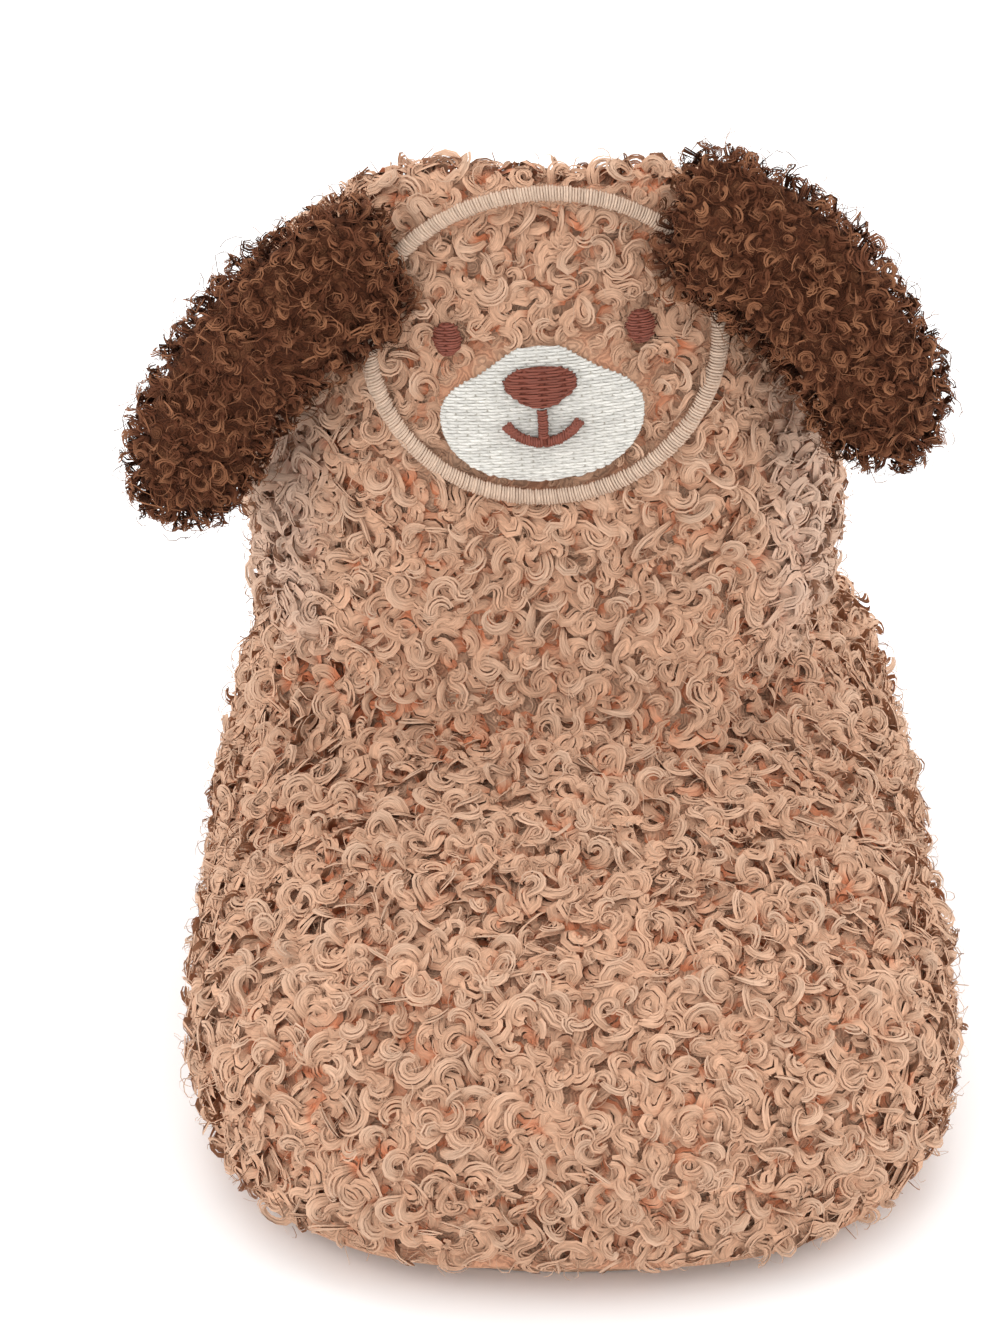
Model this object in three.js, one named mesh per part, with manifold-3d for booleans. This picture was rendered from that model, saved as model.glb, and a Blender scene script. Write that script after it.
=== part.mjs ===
// A baby's dog-faced bootie slipper in curly faux lambswool: soft sole, insole, one hollow upper from toe to
// collar, two floppy ears and an embroidered face. Millimetres, +Z up, toe towards -Y, either foot.
// The origin is on the floor, under the middle of the sole.
import * as THREE from "three";
import Module from "manifold-3d";

const wasm = await Module();
wasm.setup();

// Driving dimensions of the foot, measured over the fur.
const footLength = 130;
const ballWidth = 79;
const instepHeight = 40;
const toeRound = 34;
const heelRound = 31;
const toeCrown = 27;
const heelCrown = 22;
const hemLift = 0.3;

// Driving dimensions of the shaft, which rises from the ankle's fold.
const shaftWidth = 63.5;
const shaftDepth = 69;
const shaftSetback = 56;
const shaftShift = -2.5;
const collarFront = 96.5;
const collarSide = 82;
const collarBack = 68;

// The wall: backing and lining together, then the curly pile that stands on them.
const clothWall = 3;
const pileDepth = 4;
const lockHeight = 2.6;
const lockPitch = 8.5;
const lockSink = 0.45;
const hemPlain = 2;
const hemFull = 7;
const pressDepth = 0.3;

// Soles.
const soleThickness = 2.5;
const soleTuck = 2;
const soleBevel = 0.7;
const insoleThickness = 2.4;
const fitGap = 0.3;
const insoleEase = 0.6;

// Ears.
const earLength = 40;
const earWidth = 14.8;
const earThickness = 10;
const earSeat = 14.4;
const earRise = 11.8;
const earLock = 1.6;

// The embroidered face, on the front of the shaft.
const faceHeight = 79.2;
const faceTurn = 3.5;
const ringWidth = 37;
const ringTall = 31.2;
const ringThread = 1.6;
const stitchDepth = 0.9;
const muzzleWidth = 21.2;
const muzzleTall = 13.8;
const muzzleShift = -0.7;
const muzzleDrop = 6.8;
const noseWidth = 7.8;
const noseTall = 4.1;
const noseDrop = 3.9;
const mouthWidth = 7.6;
const mouthDrop = 7.5;
const mouthTall = 1.9;
const mouthThread = 1;
const eyeWidth = 2.8;
const eyeTall = 3.4;
const eyeSpacing = 20.2;
const eyeRise = 1.2;

// The seams between the shaft's front panel and its side panels.
const seamSpacing = 49;
const seamWidth = 5;
const seamDepth = 1.2;

// The foot from toe (0) to heel (1): its width as a share of ballWidth, the heights of its ridge and of its
// widest level as shares of instepHeight, and how far the sole tucks in under it as a share of soleTuck.
const footSections = [
  { along: 0.0, width: 0.99, ridge: 0.67, widest: 0.3, tuck: 1.0 },
  { along: 0.12, width: 1.0, ridge: 0.78, widest: 0.33, tuck: 1.0 },
  { along: 0.25, width: 1.0, ridge: 0.88, widest: 0.35, tuck: 1.0 },
  { along: 0.45, width: 0.98, ridge: 1.0, widest: 0.37, tuck: 1.4 },
  { along: 0.65, width: 0.95, ridge: 0.99, widest: 0.38, tuck: 1.9 },
  { along: 0.85, width: 0.92, ridge: 0.96, widest: 0.39, tuck: 1.3 },
  { along: 1.0, width: 0.9, ridge: 0.92, widest: 0.4, tuck: 1.0 },
];

// The shaft by height, as a share of collarFront: its front and back edges as shares of shaftDepth, and its
// width as a share of shaftWidth.
const shaftSections = [
  { height: 0.2, front: -0.14, back: 1.05, width: 1.08 },
  { height: 0.33, front: -0.07, back: 1.01, width: 0.98 },
  { height: 0.41, front: -0.02, back: 0.99, width: 0.95 },
  { height: 0.49, front: 0.0, back: 1.0, width: 1.0 },
  { height: 0.62, front: 0.03, back: 0.99, width: 0.995 },
  { height: 0.76, front: 0.07, back: 0.97, width: 0.95 },
  { height: 0.9, front: 0.13, back: 0.93, width: 0.88 },
  { height: 1.0, front: 0.165, back: 0.91, width: 0.82 },
];

// The ears' middle lines from seam to tip: outwards and upwards as shares of earLength, forwards from the
// seam's cloth as a share of earThickness, and the section's width and thickness as shares of theirs.
const leftEar = [
  { out: 0.02, up: -0.05, forward: 0.15, width: 1.14, thick: 0.7 },
  { out: 0.13, up: -0.09, forward: 0.32, width: 1.12, thick: 0.9 },
  { out: 0.24, up: -0.15, forward: 0.4, width: 1.06, thick: 1.0 },
  { out: 0.35, up: -0.25, forward: 0.4, width: 1.0, thick: 1.0 },
  { out: 0.45, up: -0.38, forward: 0.35, width: 0.98, thick: 1.0 },
  { out: 0.53, up: -0.55, forward: 0.25, width: 0.97, thick: 0.95 },
  { out: 0.58, up: -0.73, forward: 0.15, width: 0.94, thick: 0.9 },
  { out: 0.6, up: -0.84, forward: 0.1, width: 0.9, thick: 0.85 },
];
const rightEar = [
  { out: 0.0, up: 0.03, forward: 0.15, width: 1.2, thick: 0.7 },
  { out: 0.12, up: -0.01, forward: 0.32, width: 1.18, thick: 0.9 },
  { out: 0.24, up: -0.08, forward: 0.4, width: 1.12, thick: 1.0 },
  { out: 0.35, up: -0.17, forward: 0.4, width: 1.08, thick: 1.0 },
  { out: 0.45, up: -0.3, forward: 0.35, width: 1.04, thick: 1.0 },
  { out: 0.52, up: -0.45, forward: 0.25, width: 1.02, thick: 0.95 },
  { out: 0.56, up: -0.61, forward: 0.15, width: 1.0, thick: 0.9 },
  { out: 0.57, up: -0.74, forward: 0.1, width: 0.96, thick: 0.85 },
];

// How finely each surface is divided.
const footRows = 43;
const footArchColumns = 34;
const footFloorColumns = 12;
const shaftRows = 17;
const shaftColumns = 58;
const rollRows = 3;
const earRows = 15;
const earColumns = 17;
const cordSides = 6;
const ringSteps = 48;
const mouthSteps = 7;
const soleColumns = 60;
const insideRows = 20;
const evenShare = 0.2;
const insideColumns = 12;
const collarRows = 5;
const collarColumns = 30;
const muzzleSteps = 32;
const noseSteps = 20;
const eyeSteps = 10;

// Powers of the rounded outlines: 2 is an ellipse, and more is squarer.
const planPower = 2.2;
const archPower = 2.3;
const floorPower = 6;
const frontPower = 2.7;
const backPower = 2.2;
const crownPower = 2.4;
const hemPower = 5;

// Places that follow from the dimensions.
const toeY = -footLength / 2;
const shaftY = toeY + shaftSetback;
const faceRadians = THREE.MathUtils.degToRad(faceTurn);
const shaftFloor = 0.55 * instepHeight;
const innerInset = clothWall + pileDepth;
const insoleFloor = soleThickness + fitGap;
const shaftMiddle = 0.45;
const rollRadius = 0.8 * innerInset;

const bend = (value, power) => Math.sign(value) * Math.abs(value) ** power;
const clamp01 = (value) => Math.min(1, Math.max(0, value));
const ease = (from, to, value) => THREE.MathUtils.smoothstep(value, from, to);

// A smooth value of one column through a table's rows, at a place along them.
function through(table, place, column, at) {
  const last = table.length - 1;
  if (at <= table[0][place]) return table[0][column];
  if (at >= table[last][place]) return table[last][column];
  const i = table.findIndex((row) => row[place] > at);
  const slope = (k) => {
    const before = table[Math.max(0, k - 1)];
    const after = table[Math.min(last, k + 1)];
    return (after[column] - before[column]) / (after[place] - before[place]);
  };
  const [a, b] = [table[i - 1], table[i]];
  const span = b[place] - a[place];
  const t = (at - a[place]) / span;
  const rise = 3 * t * t - 2 * t * t * t;
  const bulge = slope(i - 1) * (t - 2 * t * t + t * t * t) + slope(i) * (t * t * t - t * t);
  return a[column] + (b[column] - a[column]) * rise + bulge * span;
}

// How full the foot is near its ends: 0 at the very toe or heel and 1 past the rounded stretches.
function endRound(y, inset, toe, heel, power) {
  const fromToe = clamp01((y - (toeY + inset)) / (toe - inset));
  const fromHeel = clamp01((-toeY - inset - y) / (heel - inset));
  return (1 - (1 - Math.min(fromToe, fromHeel)) ** power) ** (1 / power);
}

// The plan's half width at y.
function planHalf(y, inset) {
  const along = (y - toeY) / footLength;
  const half = (through(footSections, "along", "width", along) * ballWidth) / 2;
  return (half - inset) * endRound(y, inset, toeRound, heelRound, planPower);
}

// A point on the foot's form, drawn in by inset: y, then the angle round the section, 0 at the right side.
function footPoint(y, angle, inset, floor) {
  const along = (y - toeY) / footLength;
  const middle = through(footSections, "along", "widest", along) * instepHeight;
  const ridge = through(footSections, "along", "ridge", along) * instepHeight;
  const up = Math.sin(angle) >= 0;
  const power = 2 / (up ? archPower : floorPower);
  const tall = up
    ? (ridge - middle - inset) * endRound(y, inset, toeCrown, heelCrown, crownPower)
    : (middle - floor) * endRound(y, inset, toeRound, heelRound, hemPower);
  return new THREE.Vector3(
    planHalf(y, inset) * bend(Math.cos(angle), power),
    y,
    middle + tall * bend(Math.sin(angle), power),
  );
}

// The shaft's outline at a height: where its front, middle and back are, and its half width.
function shaftAt(z, inset) {
  const height = z / collarFront;
  const front = shaftY + through(shaftSections, "height", "front", height) * shaftDepth;
  const back = shaftY + through(shaftSections, "height", "back", height) * shaftDepth;
  const half = (through(shaftSections, "height", "width", height) * shaftWidth) / 2;
  const middle = front + (back - front) * shaftMiddle;
  return { middle, front: middle - front - inset, back: back - middle - inset, half: half - inset };
}

// A point on the shaft's form: its height and the angle round it, 0 at the front.
function shaftPoint(z, angle, inset) {
  const outline = shaftAt(z, inset);
  const front = Math.cos(angle) >= 0;
  const power = 2 / (front ? frontPower : backPower);
  const reach = front ? outline.front : outline.back;
  return new THREE.Vector3(
    shaftShift + outline.half * bend(Math.sin(angle), power),
    outline.middle - reach * bend(Math.cos(angle), power),
    z,
  );
}

// The collar's edge: high in front as a tongue is, and low behind the ankle.
function rimHeight(angle) {
  const share = bend(Math.cos(angle), 2 / frontPower);
  return collarSide + share * (share > 0 ? collarFront - collarSide : collarSide - collarBack);
}

// The front of the shaft as a height field, and its outward normal, for what is sewn on it.
function frontPoint(x, z, lift) {
  const across = (px, pz) => {
    const outline = shaftAt(pz, 0);
    const share = Math.min(0.98, Math.abs(px - shaftShift) / outline.half);
    return outline.middle - outline.front * (1 - share ** frontPower) ** (1 / frontPower);
  };
  const step = 0.5;
  const y = across(x, z);
  const slopeX = (across(x + step, z) - across(x - step, z)) / (2 * step);
  const slopeZ = (across(x, z + step) - across(x, z - step)) / (2 * step);
  const normal = new THREE.Vector3(slopeX, -1, slopeZ).normalize();
  return { point: new THREE.Vector3(x, y, z).addScaledVector(normal, lift), normal };
}

// A point of the face, given across and up from the ring's middle, on the leaning front.
function facePoint(across, up, lift) {
  const x = shaftShift + across * Math.cos(faceRadians) - up * Math.sin(faceRadians);
  const z = faceHeight + across * Math.sin(faceRadians) + up * Math.cos(faceRadians);
  return frontPoint(x, z, lift);
}

// The curly pile: rounded locks crowd the surface, one to each cell of a jittered grid.
function lockDome(point, pitch) {
  const scatter = (x, y, z, seed) => {
    const value = Math.sin(x * 12.9898 + y * 78.233 + z * 37.719 + seed * 4.581) * 43758.5453;
    return value - Math.floor(value);
  };
  const cell = point.clone().divideScalar(pitch).floor();
  let nearest = Infinity;
  for (const dx of [-1, 0, 1])
    for (const dy of [-1, 0, 1])
      for (const dz of [-1, 0, 1]) {
        const [x, y, z] = [cell.x + dx, cell.y + dy, cell.z + dz];
        const centre = new THREE.Vector3(
          x + scatter(x, y, z, 1),
          y + scatter(x, y, z, 2),
          z + scatter(x, y, z, 3),
        ).multiplyScalar(pitch);
        nearest = Math.min(nearest, centre.distanceTo(point) / pitch);
      }
  return 1 - Math.min(1, nearest) ** 2;
}

// Where embroidery presses the pile flat: under the ring, the muzzle and the eyes. Each pair is where the
// pressing is full and where it ends, as shares of the size of what presses.
const ringPress = [0.08, 0.17];
const muzzlePress = [1.1, 1.4];
const eyePress = [0.8, 1.4];
function pressed(point) {
  if (point.y > shaftY + shaftDepth / 3) return 0;
  const [x, z] = [point.x - shaftShift, point.z - faceHeight];
  const across = x * Math.cos(faceRadians) + z * Math.sin(faceRadians);
  const up = z * Math.cos(faceRadians) - x * Math.sin(faceRadians);
  const ring = Math.hypot((2 * across) / ringWidth, (2 * up) / ringTall);
  const muzzle = Math.hypot((2 * across) / muzzleWidth, (2 * (up + muzzleDrop)) / muzzleTall);
  const eye = Math.hypot(Math.abs(across) - eyeSpacing / 2, up - eyeRise) / eyeTall;
  const onRing = 1 - ease(...ringPress, Math.abs(ring - 1));
  const inRing = 0.5 * (1 - ease(0.9, 1.0, ring));
  return Math.max(onRing, inRing, 1 - ease(...muzzlePress, muzzle), 1 - ease(...eyePress, eye));
}

// The two soft grooves where the shaft's front panel is sewn to its sides.
function seamGroove(point) {
  const aside = Math.abs(point.x - shaftShift) - seamSpacing / 2;
  const front = 1 - ease(0, shaftDepth / 2, point.y - shaftY);
  return front * Math.exp(-((aside / (seamWidth / 2)) ** 2));
}

const pileRelief = (point) => {
  const dome = lockDome(point, lockPitch) - lockSink;
  return lockHeight * dome * (1 - pressed(point)) * ease(hemPlain, hemFull, point.z);
};
const shaftRelief = (point) =>
  pileRelief(point) - pressDepth * pressed(point) - seamDepth * seamGroove(point) * (1 - pressed(point));

// A closed body through rings of points, capped at both ends or joined end to end, with its vertices
// then moved outwards by raise.
function loft(rings, { joined = false, raise } = {}) {
  const around = rings[0].length;
  const points = rings.flat();
  const faces = [];
  const quad = (a, b, c, d) => faces.push(a, b, c, a, c, d);
  const steps = joined ? rings.length : rings.length - 1;
  for (let i = 0; i < steps; i++)
    for (let j = 0; j < around; j++) {
      const [row, next] = [i * around, ((i + 1) % rings.length) * around];
      quad(row + j, row + ((j + 1) % around), next + ((j + 1) % around), next + j);
    }
  if (!joined)
    for (const [ring, turn] of [[0, 1], [rings.length - 1, -1]]) {
      const centre = new THREE.Vector3();
      for (const point of rings[ring]) centre.addScaledVector(point, 1 / around);
      points.push(centre);
      for (let j = 0; j < around; j++) {
        const [a, b] = [ring * around + j, ring * around + ((j + 1) % around)];
        faces.push(points.length - 1, turn > 0 ? b : a, turn > 0 ? a : b);
      }
    }
  const geometry = new THREE.BufferGeometry().setFromPoints(points).setIndex(faces);
  if (raise) {
    geometry.computeVertexNormals();
    const outwards = signedVolume(points, faces) > 0 ? 1 : -1;
    const normals = geometry.getAttribute("normal");
    points.forEach((point, i) => {
      const normal = new THREE.Vector3().fromBufferAttribute(normals, i);
      point.addScaledVector(normal, outwards * raise(point.clone()));
    });
  }
  return toSolid(points, faces);
}

function signedVolume(points, faces) {
  let volume = 0;
  for (let i = 0; i < faces.length; i += 3) {
    const [a, b, c] = [points[faces[i]], points[faces[i + 1]], points[faces[i + 2]]];
    volume += a.dot(b.clone().cross(c)) / 6;
  }
  return volume;
}

function toSolid(points, faces) {
  const triVerts = new Uint32Array(faces);
  if (signedVolume(points, faces) < 0)
    for (let i = 0; i < triVerts.length; i += 3)
      [triVerts[i + 1], triVerts[i + 2]] = [triVerts[i + 2], triVerts[i + 1]];
  const vertProperties = new Float32Array(points.flatMap((point) => point.toArray()));
  return new wasm.Manifold(new wasm.Mesh({ numProp: 3, vertProperties, triVerts }));
}

// The foot's form, drawn in by inset, down to floor.
function footForm(inset, floor, rows, archColumns, floorColumns, raise) {
  const angles = [];
  for (let i = 0; i < archColumns; i++) angles.push((Math.PI * i) / archColumns);
  for (let i = 0; i < floorColumns; i++) angles.push(Math.PI + (Math.PI * i) / floorColumns);
  const reach = footLength / 2 - inset;
  const rings = [];
  for (let i = 1; i < rows; i++) {
    const even = (2 * i) / rows - 1;
    const y = reach * THREE.MathUtils.lerp(Math.sin((even * Math.PI) / 2), even, evenShare);
    rings.push(angles.map((angle) => footPoint(y, angle, inset, floor)));
  }
  return loft(rings, { raise });
}

// The shaft's form, drawn in by inset. With roll, its top edge rounds over towards the mouth; otherwise it
// goes on past the collar, to cut the mouth open.
function shaftForm(inset, rows, columns, roll, raise) {
  const angles = Array.from({ length: columns }, (_, j) => (2 * Math.PI * j) / columns);
  const past = roll ? -rollRadius : 2 * rollRadius;
  const rings = [];
  for (let i = 0; i <= rows; i++)
    rings.push(
      angles.map((angle) => {
        const top = rimHeight(angle) + past;
        return shaftPoint(shaftFloor + ((top - shaftFloor) * i) / rows, angle, inset);
      }),
    );
  for (let i = 1; roll && i <= rollRows; i++) {
    const turn = (Math.PI / 2) * (i / rollRows);
    rings.push(
      angles.map((angle) => {
        const z = rimHeight(angle) - rollRadius * (1 - Math.sin(turn));
        return shaftPoint(z, angle, inset + rollRadius * (1 - Math.cos(turn)));
      }),
    );
  }
  return loft(rings, { raise });
}

// A flat plate with the sole's outline, grown by grow, its edges eased by bevel. It narrows at the waist.
function solePlate(grow, low, high, bevel) {
  const outline = (z, extra) => {
    const inset = pileDepth + soleTuck - grow + extra;
    const reach = footLength / 2 - inset;
    return Array.from({ length: soleColumns }, (_, j) => {
      const angle = (2 * Math.PI * j) / soleColumns;
      const y = -reach * Math.cos(angle);
      const waist = soleTuck * (through(footSections, "along", "tuck", (y - toeY) / footLength) - 1);
      const half = Math.max(0, planHalf(y, inset) - waist);
      return new THREE.Vector3(Math.sign(Math.sin(angle)) * half, y, z);
    });
  };
  const edges = bevel ? [outline(low + bevel, 0), outline(high - bevel, 0)] : [];
  return loft([outline(low, bevel), ...edges, outline(high, bevel)]);
}

function slab(low, high) {
  const box = new THREE.BoxGeometry(3 * footLength, 3 * footLength, high - low);
  box.translate(0, 0, (low + high) / 2);
  const position = box.getAttribute("position");
  const corners = new Map();
  const faces = Array.from(box.index.array, (i) => {
    const point = new THREE.Vector3().fromBufferAttribute(position, i);
    const key = point.toArray().join();
    if (!corners.has(key)) corners.set(key, { at: corners.size, point });
    return corners.get(key).at;
  });
  return toSolid([...corners.values()].map((corner) => corner.point), faces);
}

const makeOutsole = () => solePlate(0, 0, soleThickness, soleBevel);

// The room inside for the foot, drawn in further by extra.
const footRoom = (extra) => footForm(innerInset + extra, 0, insideRows, insideColumns, insideColumns);

const makeInsole = () => footRoom(insoleEase).intersect(slab(insoleFloor, insoleFloor + insoleThickness));

function makeUpper() {
  const outer = footForm(0, hemLift, footRows, footArchColumns, footFloorColumns, pileRelief).add(
    shaftForm(0, shaftRows, shaftColumns, true, shaftRelief),
  );
  const inner = footRoom(0).add(shaftForm(innerInset, collarRows, collarColumns, false));
  const pocket = solePlate(fitGap, -soleThickness, insoleFloor, 0);
  return outer.subtract(inner).subtract(pocket);
}

// What is sewn to the front is cut back to clear the pile under it.
const shaftClearance = () => shaftForm(-fitGap, shaftRows, shaftColumns, true, shaftRelief);

function makeEar(table, side) {
  const seat = facePoint(side * earSeat, earRise, 0).point;
  const spine = new THREE.CatmullRomCurve3(
    table.map(
      (row) =>
        new THREE.Vector3(
          seat.x + side * row.out * earLength,
          seat.y - row.forward * earThickness,
          seat.z + row.up * earLength,
        ),
    ),
    false,
    "centripetal",
  );
  const rows = table.map((row, i) => ({ ...row, place: i / (table.length - 1) }));
  const forwards = new THREE.Vector3(0, -1, 0);
  const rings = [];
  for (let i = 0; i <= earRows; i++) {
    const t = i / (earRows + 0.4);
    const tip = Math.sqrt(1 - ease(0.7, 1.0, t) ** 2 * 0.98);
    const seam = 0.8 + 0.2 * ease(0, 0.15, t);
    const tangent = spine.getTangent(t);
    const across = tangent.clone().cross(forwards).normalize();
    const thick = across.clone().cross(tangent).normalize();
    const middle = spine.getPoint(t);
    const halfWidth = (through(rows, "place", "width", t) * earWidth * tip * seam) / 2;
    const halfThick = (through(rows, "place", "thick", t) * earThickness * tip * seam) / 2;
    rings.push(
      Array.from({ length: earColumns }, (_, j) => {
        const angle = (2 * Math.PI * j) / earColumns;
        return middle
          .clone()
          .addScaledVector(across, halfWidth * bend(Math.cos(angle), 0.9))
          .addScaledVector(thick, halfThick * bend(Math.sin(angle), 0.9));
      }),
    );
  }
  const raise = (point) => earLock * (lockDome(point, 0.8 * lockPitch) - lockSink);
  return loft(rings, { raise }).subtract(shaftClearance()).subtract(ringGroove());
}

// A cord of thread laid along a path of the face: a low oval section, as satin stitch has.
function threadCord(path, thread, lift, grow, joined) {
  const ring = ({ across, up }, next) => {
    const here = facePoint(across, up, lift);
    const ahead = facePoint(next.across, next.up, lift);
    const along = ahead.point.clone().sub(here.point).normalize();
    const sideways = along.clone().cross(here.normal).normalize();
    return Array.from({ length: cordSides }, (_, j) => {
      const angle = (2 * Math.PI * (j + 0.5)) / cordSides;
      return here.point
        .clone()
        .addScaledVector(sideways, (thread / 2 + grow) * Math.cos(angle))
        .addScaledVector(here.normal, (stitchDepth / 2 + grow) * Math.sin(angle));
    });
  };
  const last = path.length - 1;
  const beyond = (end, before) => ({ across: 2 * end.across - before.across, up: 2 * end.up - before.up });
  const rings = path.map((place, i) => {
    if (i < last) return ring(place, path[i + 1]);
    return ring(place, joined ? path[0] : beyond(place, path[i - 1]));
  });
  return loft(rings, { joined });
}

const ringLift = fitGap + stitchDepth / 2;

function makeRing(grow = 0, lift = ringLift) {
  const path = Array.from({ length: ringSteps }, (_, i) => {
    const angle = (2 * Math.PI * i) / ringSteps;
    return { across: (ringWidth / 2) * Math.cos(angle), up: (ringTall / 2) * Math.sin(angle) };
  });
  return threadCord(path, ringThread, lift, grow, true);
}

// The room that the ears leave for the ring, open down to the cloth.
const ringGroove = () => makeRing(fitGap).add(makeRing(fitGap, 0));

// A patch of fill stitch: an outline on the face, with a low crown, between two lifts from the cloth.
function stitchPatch(outline, centre, lift, depth) {
  const shares = [0, 0.5, 0.85, 1];
  const layer = (high) =>
    shares.slice(1).map((share) =>
      outline.map(({ across, up }) => {
        const crown = high ? depth * (0.55 + 0.45 * (1 - share ** 3)) : 0;
        const aside = centre.across + share * (across - centre.across);
        return facePoint(aside, centre.up + share * (up - centre.up), lift + crown).point;
      }),
    );
  return loft([...layer(false), ...layer(true).reverse()]);
}

// The muzzle's outline: a wide oval with a bump over the nose.
function muzzleOutline() {
  return Array.from({ length: muzzleSteps }, (_, i) => {
    const angle = (2 * Math.PI * i) / muzzleSteps;
    const across = (muzzleWidth / 2) * bend(Math.cos(angle), 0.9);
    const bump = Math.exp(-((across / (0.22 * muzzleWidth)) ** 4));
    const tall = Math.sin(angle) > 0 ? 0.36 + 0.14 * bump : 0.5;
    const up = tall * muzzleTall * bend(Math.sin(angle), 0.9) - muzzleDrop;
    return { across: across + muzzleShift, up };
  });
}

// The nose's outline: a rounded triangle, point down.
function noseOutline() {
  return Array.from({ length: noseSteps }, (_, i) => {
    const angle = (2 * Math.PI * i) / noseSteps;
    const up = bend(Math.sin(angle), 0.85);
    const narrow = 0.6 + 0.4 * ease(-1, 0.3, up);
    return {
      across: muzzleShift + (noseWidth / 2) * bend(Math.cos(angle), 0.8) * narrow,
      up: (noseTall / 2) * up - noseDrop,
    };
  });
}

const muzzleLift = fitGap;
const onMuzzle = muzzleLift + stitchDepth + fitGap;

function makeMuzzle() {
  const centre = { across: muzzleShift, up: -muzzleDrop };
  return stitchPatch(muzzleOutline(), centre, muzzleLift, stitchDepth).subtract(shaftClearance());
}

const makeNose = () =>
  stitchPatch(noseOutline(), { across: muzzleShift, up: -noseDrop }, onMuzzle, stitchDepth);

// The mouth: a short stem under the nose, and a curve to each side that turns up at its end.
function makeMouth() {
  const lift = onMuzzle + stitchDepth / 2;
  const low = -mouthDrop - mouthTall;
  const top = -noseDrop - noseTall / 2 - fitGap;
  const stem = [top, (top + low) / 2, low].map((up) => ({ across: muzzleShift, up }));
  const smile = Array.from({ length: 2 * mouthSteps + 1 }, (_, i) => {
    const share = i / mouthSteps - 1;
    const across = muzzleShift + (mouthWidth / 2) * share;
    return { across, up: low + mouthTall * Math.abs(share) ** 2.6 };
  });
  return threadCord(smile, mouthThread, lift, 0, false).add(threadCord(stem, mouthThread, lift, 0, false));
}

function makeEye(side) {
  const centre = { across: (side * eyeSpacing) / 2, up: eyeRise };
  const outline = Array.from({ length: eyeSteps }, (_, i) => {
    const angle = (2 * Math.PI * i) / eyeSteps;
    return {
      across: centre.across + (eyeWidth / 2) * Math.cos(angle),
      up: centre.up + (eyeTall / 2) * Math.sin(angle),
    };
  });
  return stitchPatch(outline, centre, fitGap, stitchDepth).subtract(shaftClearance());
}

function material(colour, roughness) {
  return new THREE.MeshStandardMaterial({ color: colour, roughness, metalness: 0 });
}

const tanPile = material("#c89a78", 0.95);
const brownPile = material("#5b3826", 0.95);
const creamThread = material("#e6e3da", 0.6);
const brownThread = material("#7a4536", 0.55);
const taupeThread = material("#b39a88", 0.5);
const soleCloth = material("#b98f70", 0.9);
const insoleCloth = material("#d9c3ac", 0.95);

const slipper = new THREE.Group();

function place(name, solid, finish) {
  const { vertProperties, triVerts, numProp } = solid.getMesh();
  const geometry = new THREE.BufferGeometry();
  const flat = new Float32Array(triVerts.length * 3);
  triVerts.forEach((vertex, i) =>
    flat.set(vertProperties.subarray(vertex * numProp, vertex * numProp + 3), 3 * i),
  );
  geometry.setAttribute("position", new THREE.BufferAttribute(flat, 3));
  geometry.computeVertexNormals();
  const mesh = new THREE.Mesh(geometry, finish);
  mesh.name = name;
  slipper.add(mesh);
}

place("outsole", makeOutsole(), soleCloth);
place("insole", makeInsole(), insoleCloth);
place("upper", makeUpper(), tanPile);
place("ear_left", makeEar(leftEar, -1), brownPile);
place("ear_right", makeEar(rightEar, 1), brownPile);
place("face_ring", makeRing().subtract(shaftClearance()), taupeThread);
place("muzzle", makeMuzzle(), creamThread);
place("nose", makeNose(), brownThread);
place("mouth", makeMouth(), brownThread);
place("eye_left", makeEye(-1), brownThread);
place("eye_right", makeEye(1), brownThread);

export default slipper;
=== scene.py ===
import math

import bpy
import numpy as np
from mathutils import Matrix, Vector
from mathutils.bvhtree import BVHTree
from mathutils.kdtree import KDTree


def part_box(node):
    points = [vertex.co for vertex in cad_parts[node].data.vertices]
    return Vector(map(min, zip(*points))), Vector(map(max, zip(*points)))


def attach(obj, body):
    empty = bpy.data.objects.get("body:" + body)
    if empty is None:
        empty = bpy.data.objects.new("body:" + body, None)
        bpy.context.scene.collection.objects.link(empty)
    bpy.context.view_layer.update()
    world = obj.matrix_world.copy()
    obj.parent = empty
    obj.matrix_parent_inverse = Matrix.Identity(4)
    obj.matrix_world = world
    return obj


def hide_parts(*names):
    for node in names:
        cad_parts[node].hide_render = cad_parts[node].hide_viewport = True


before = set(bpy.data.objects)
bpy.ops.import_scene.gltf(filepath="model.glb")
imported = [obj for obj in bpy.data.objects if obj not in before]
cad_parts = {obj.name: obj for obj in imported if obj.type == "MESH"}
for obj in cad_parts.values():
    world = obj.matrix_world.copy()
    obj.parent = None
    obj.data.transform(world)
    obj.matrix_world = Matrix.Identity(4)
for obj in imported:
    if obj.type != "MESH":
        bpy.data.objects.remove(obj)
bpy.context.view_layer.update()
mm = 0.001

# Outsole: a flat cut piece of soft sole cloth, brushed underneath so that it grips, whose edge meets the
# upper's hem all round. It is the CAD solid with its cloth on it.


def paint(red, green, blue):
    """A colour as Blender's shaders take it, from the 0 to 255 that a screen shows."""
    shares = [channel / 255 for channel in (red, green, blue)]
    return tuple(c / 12.92 if c <= 0.04045 else ((c + 0.055) / 1.055) ** 2.4 for c in shares) + (1.0,)


def add(tree, kind, takes=None, **settings):
    """A node of that kind, with its settings, and each socket given a value or another node's output."""
    made = tree.nodes.new("ShaderNode" + kind)
    for name, value in settings.items():
        setattr(made, name, value)
    for name, value in (takes or {}).items():
        if isinstance(value, bpy.types.NodeSocket):
            tree.links.new(value, made.inputs[name])
        else:
            made.inputs[name].default_value = value
    return made


def sums(tree, operation, *values):
    """The output of a Math node on these values or outputs."""
    made = add(tree, "Math", dict(enumerate(values)), operation=operation)
    return made.outputs[0]


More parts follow.
